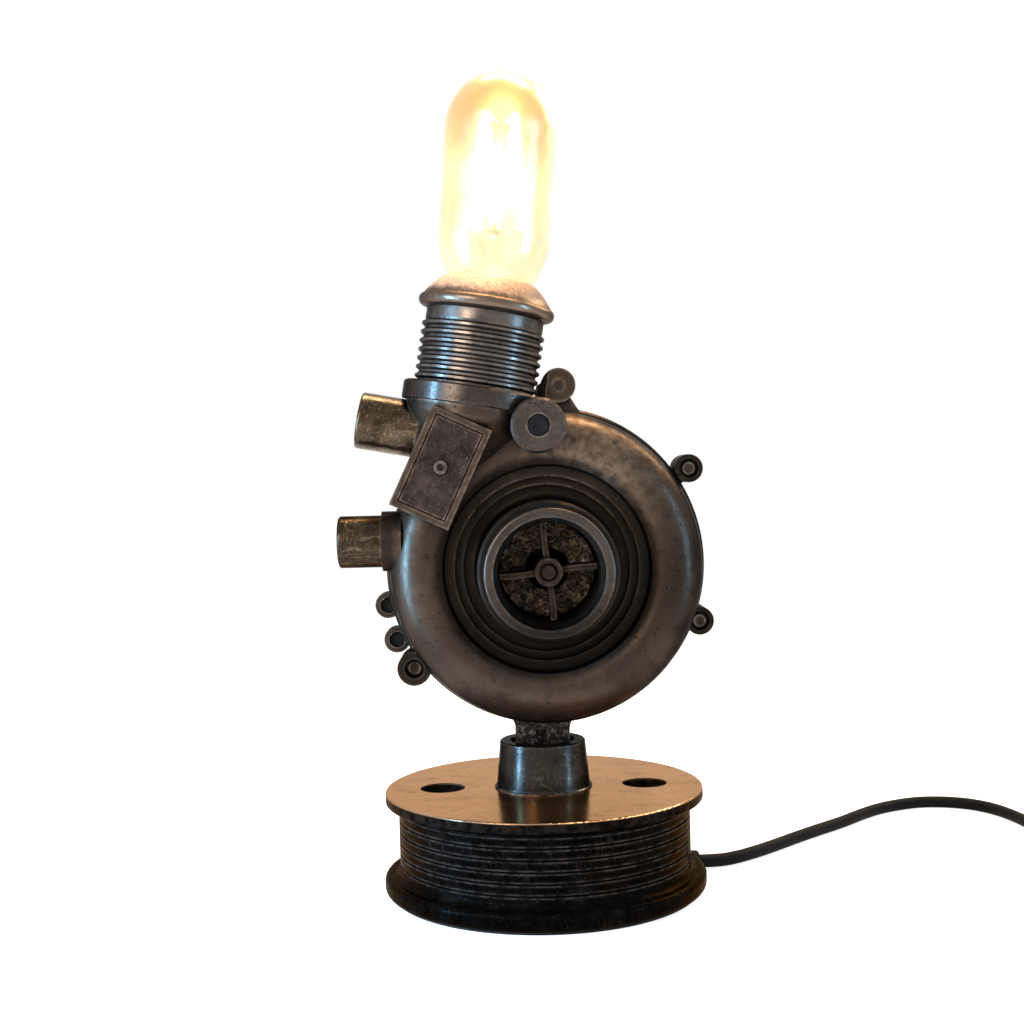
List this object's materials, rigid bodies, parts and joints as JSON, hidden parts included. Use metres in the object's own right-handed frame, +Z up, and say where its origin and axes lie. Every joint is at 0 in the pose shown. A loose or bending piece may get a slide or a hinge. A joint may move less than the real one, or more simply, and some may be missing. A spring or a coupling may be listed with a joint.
{
  "type": "table lamp",
  "caption": "Upcycled industrial table lamp: blower volute with impeller on a belt-pulley base, ribbed pulley lampholder, tubular filament bulb, push switch and corded plug.",
  "frame": {"origin": "centre of the base's underside, on the surface the lamp stands on", "axes": "+Z up, the blower's inlet looks along -Y, +X to the right as seen from the front"},
  "size_m": [0.4069, 0.1927, 0.3296],
  "materials": {
    "back_plate": "satin",
    "ballast_weight": "matte",
    "base_pulley": "satin",
    "bearing_balls": "plain",
    "bearing_circlip": "plain",
    "bearing_inner_races": "plain",
    "bearing_outer_races": "plain",
    "bearing_spacer": "plain",
    "bottom_plate": "plain",
    "bottom_plate_screws": "plain",
    "bulb_cap": "satin",
    "bulb_contact": "plain",
    "bulb_glass": "clear",
    "bulb_insulator": "gloss",
    "bulb_mount": "clear",
    "collar_screws": "plain",
    "cord_clamp": "matte",
    "cord_clamp_screws": "plain",
    "cord_coil": "matte",
    "cord_grommet": "matte",
    "cord_lead": "matte",
    "cord_tail": "matte",
    "cord_tie": "matte",
    "cover_plate": "aged",
    "cover_plate_screw": "plain",
    "felt_pad": "felt",
    "filament": "glowing",
    "filament_supports": "plain",
    "flange_gasket": "matte",
    "flange_screws": "plain",
    "holder_body": "matte",
    "holder_centre_contact": "plain",
    "holder_nipple": "plain",
    "holder_nut": "plain",
    "holder_shell": "plain",
    "holder_wedges": "plain",
    "hub_socket": "satin",
    "impeller": "rough",
    "impeller_nut": "plain",
    "inlet_sleeve": "satin",
    "lampholder_pulley": "gloss",
    "live_leads": "satin",
    "lower_spigot": "aged",
    "neck_collar": "satin",
    "neutral_lead": "satin",
    "plug_body": "matte",
    "plug_pins": "nickel",
    "pulley_grub_screws": "plain",
    "rotor_shaft": "plain",
    "shaft_circlip": "plain",
    "stem_nut": "plain",
    "stem_tube": "plain",
    "switch_body": "plain",
    "switch_button": "satin",
    "switch_spring": "plain",
    "switch_terminals": "plain",
    "terminal_block": "matte",
    "terminal_screws": "plain",
    "upper_spigot": "aged",
    "volute_housing": "satin"
  },
  "bodies": {
    "lamp": {"back_plate": "back_plate", "ballast_weight": "ballast_weight", "base_pulley": "base_pulley", "bearing_balls": "bearing_balls", "bearing_circlip": "bearing_circlip", "bearing_outer_races": "bearing_outer_races", "bottom_plate": "bottom_plate", "bottom_plate_screws": "bottom_plate_screws", "collar_screws": "collar_screws", "cord_clamp": "cord_clamp", "cord_clamp_screws": "cord_clamp_screws", "cord_coil": "cord_coil", "cord_grommet": "cord_grommet", "cord_lead": "cord_lead", "cord_tail": "cord_tail", "cord_tie": "cord_tie", "cover_plate": "cover_plate", "cover_plate_screw": "cover_plate_screw", "felt_pad": "felt_pad", "flange_gasket": "flange_gasket", "flange_screws": "flange_screws", "holder_body": "holder_body", "holder_centre_contact": "holder_centre_contact", "holder_nipple": "holder_nipple", "holder_nut": "holder_nut", "holder_shell": "holder_shell", "holder_wedges": "holder_wedges", "hub_socket": "hub_socket", "inlet_sleeve": "inlet_sleeve", "lampholder_pulley": "lampholder_pulley", "live_leads": "live_leads", "lower_spigot": "lower_spigot", "neck_collar": "neck_collar", "neutral_lead": "neutral_lead", "plug_body": "plug_body", "plug_pins": "plug_pins", "pulley_grub_screws": "pulley_grub_screws", "stem_nut": "stem_nut", "stem_tube": "stem_tube", "switch_body": "switch_body", "switch_spring": "switch_spring", "switch_terminals": "switch_terminals", "terminal_block": "terminal_block", "terminal_screws": "terminal_screws", "upper_spigot": "upper_spigot", "volute_housing": "volute_housing"},
    "rotor": {"rotor_shaft": "rotor_shaft", "impeller": "impeller", "impeller_nut": "impeller_nut", "shaft_circlip": "shaft_circlip", "bearing_inner_races": "bearing_inner_races", "bearing_spacer": "bearing_spacer"},
    "switch_cap": {"switch_button": "switch_button"},
    "bulb_tip": {"bulb_contact": "bulb_contact"},
    "bulb": {"bulb_glass": "bulb_glass", "bulb_cap": "bulb_cap", "bulb_insulator": "bulb_insulator", "bulb_mount": "bulb_mount", "filament": "filament", "filament_supports": "filament_supports"}
  },
  "joints": [
    {"name": "impeller_spin", "type": "hinge", "parent": "lamp", "child": "rotor", "pos_m": [0.003, 0, 0.1319], "axis": [0, 1, 0], "continuous": true},
    {"name": "switch_press", "type": "slide", "parent": "lamp", "child": "switch_cap", "axis": [0, 1, 0], "range_m": [0, 0.0025], "stiffness_N_per_m": 500, "springref_m": -0.002, "deforming": ["switch_spring"]},
    {"name": "bulb_lift", "type": "slide", "parent": "lamp", "child": "bulb_tip", "axis": [0.0837, 0, 0.9965], "range_m": [0, 0.011]},
    {"name": "bulb_turn", "type": "hinge", "parent": "bulb_tip", "child": "bulb", "pos_m": [-0.01602, -0.0075, 0.24658], "axis": [0.0837, 0, 0.9965], "range_deg": [0, 1080]}
  ],
  "couplings": [
    {"joint": "bulb_lift", "follows": "bulb_turn", "m_per_rad": 0.0005776}
  ]
}
